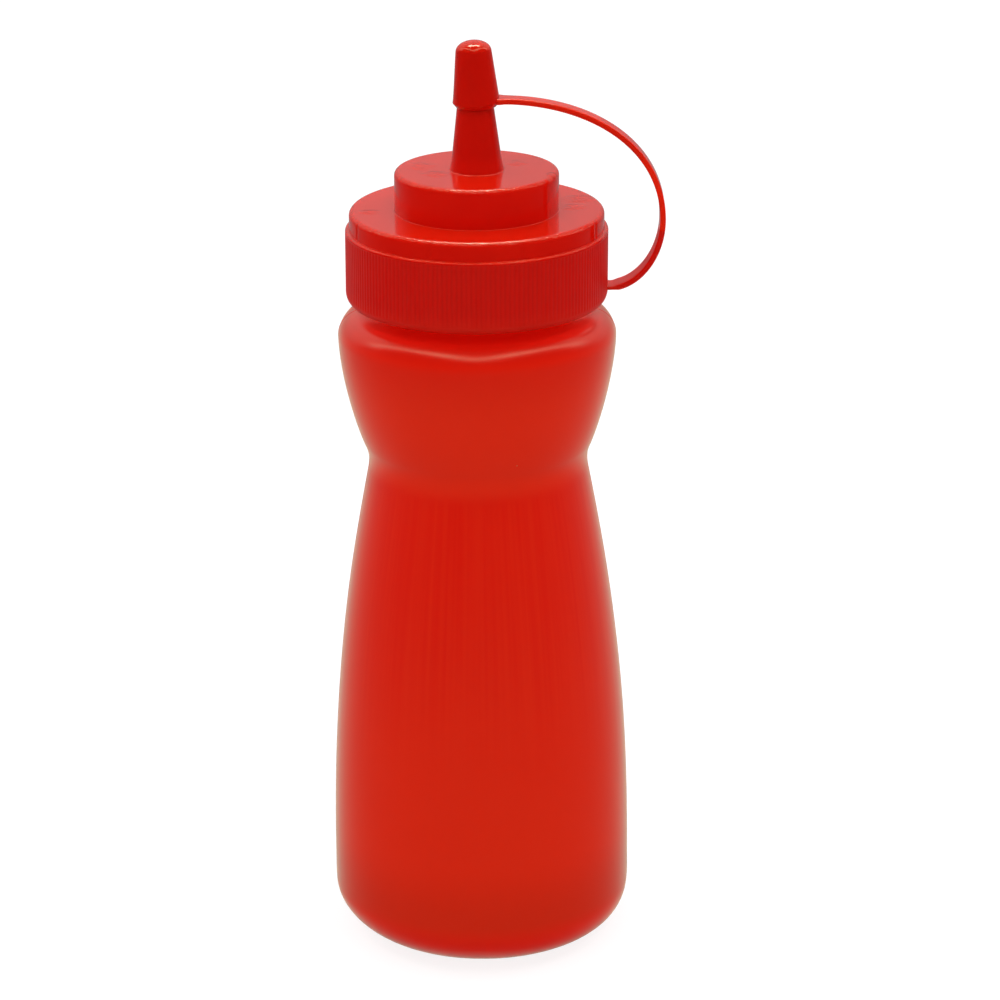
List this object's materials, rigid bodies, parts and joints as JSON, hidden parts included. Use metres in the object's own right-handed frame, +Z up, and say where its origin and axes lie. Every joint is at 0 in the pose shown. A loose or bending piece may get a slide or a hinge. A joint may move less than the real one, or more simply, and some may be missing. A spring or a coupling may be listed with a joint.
{
  "type": "condiment squeeze bottle",
  "caption": "Waisted plastic squeeze bottle with a ribbed screw lid, a tapered nozzle and a tip cap held by a looped strap.",
  "frame": {"origin": "centre of the flat base, on the surface the bottle stands on", "axes": "+Z up along the bottle's axis, +X towards the strap's loop, +Y to the back"},
  "size_m": [0.0726, 0.0654, 0.2015],
  "materials": {
    "bottle_plastic": "satin red polyethylene, blow moulded",
    "lid_plastic": "glossy red polyethylene, injection moulded"
  },
  "bodies": {
    "root": {"bottle": "bottle_plastic", "lid": "lid_plastic", "tip_cap": "lid_plastic", "strap": "lid_plastic"}
  },
  "joints": []
}
